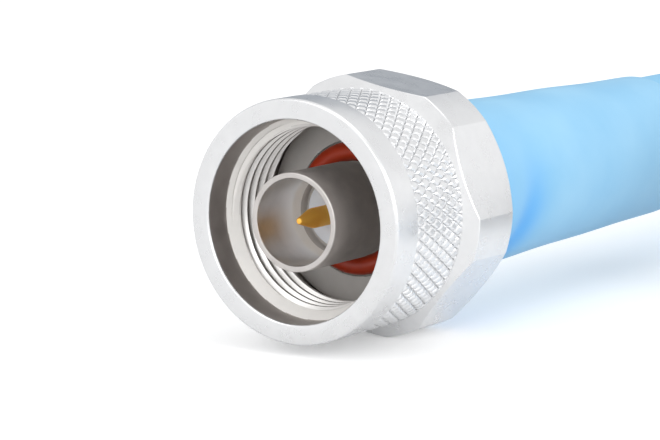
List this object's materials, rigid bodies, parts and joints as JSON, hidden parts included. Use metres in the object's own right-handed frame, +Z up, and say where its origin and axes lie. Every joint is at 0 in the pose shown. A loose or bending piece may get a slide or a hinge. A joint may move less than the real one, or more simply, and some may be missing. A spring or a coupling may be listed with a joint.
{
  "type": "n type coaxial plug on a cable jumper",
  "caption": "Threaded coaxial radio plug with a knurled hexagonal coupling nut on a thick blue cable jumper, with a matching plug on its far end.",
  "frame": {"origin": "on the near plug's axis, at the front face of its outer contact, which is the interface's reference plane", "axes": "+Y along the plug's axis, from its mating end towards the cable; +Z up from the surface that it lies on; +X to the right when looking into the mating end from the front"},
  "size_m": [0.1711, 0.1843, 0.0218],
  "materials": {
    "nut_metal": "bright satin plating on turned brass",
    "body_metal": "satin plating, smooth turned",
    "ring_metal": "spring bronze, bare",
    "gasket_rubber": "silicone, slightly shiny",
    "pin_gold": "polished gold plating",
    "bead_plastic": "smooth, slightly translucent white",
    "core_copper": "bare copper",
    "core_foam": "closed foam",
    "seal_rubber": "matt",
    "sleeve_plastic": "smooth satin, light blue",
    "jacket_plastic": "smooth satin, light blue"
  },
  "bodies": {
    "plug": {"retaining_ring": "ring_metal", "plug_body": "body_metal", "gasket": "gasket_rubber", "contact_pin": "pin_gold", "front_insulator": "bead_plastic", "rear_insulator": "bead_plastic", "centre_conductor": "core_copper", "cable_dielectric": "core_foam", "outer_conductor": "core_copper", "jacket_seal": "seal_rubber", "shrink_sleeve": "sleeve_plastic", "cable_jacket": "jacket_plastic", "far_retaining_ring": "ring_metal", "far_plug_body": "body_metal", "far_gasket": "gasket_rubber", "far_contact_pin": "pin_gold", "far_front_insulator": "bead_plastic", "far_rear_insulator": "bead_plastic", "far_centre_conductor": "core_copper", "far_cable_dielectric": "core_foam", "far_outer_conductor": "core_copper", "far_jacket_seal": "seal_rubber", "far_shrink_sleeve": "sleeve_plastic"},
    "nut": {"coupling_nut": "nut_metal"},
    "far_nut": {"far_coupling_nut": "nut_metal"}
  },
  "joints": [
    {"name": "nut_spin", "type": "hinge", "parent": "plug", "child": "nut", "pos_m": [0, 0.008, 0], "axis": [0, 1, 0], "continuous": true},
    {"name": "far_nut_spin", "type": "hinge", "parent": "plug", "child": "far_nut", "pos_m": [0.03643, 0.05126, -0.00054], "axis": [0.9962, -0.0872, 0], "continuous": true}
  ]
}
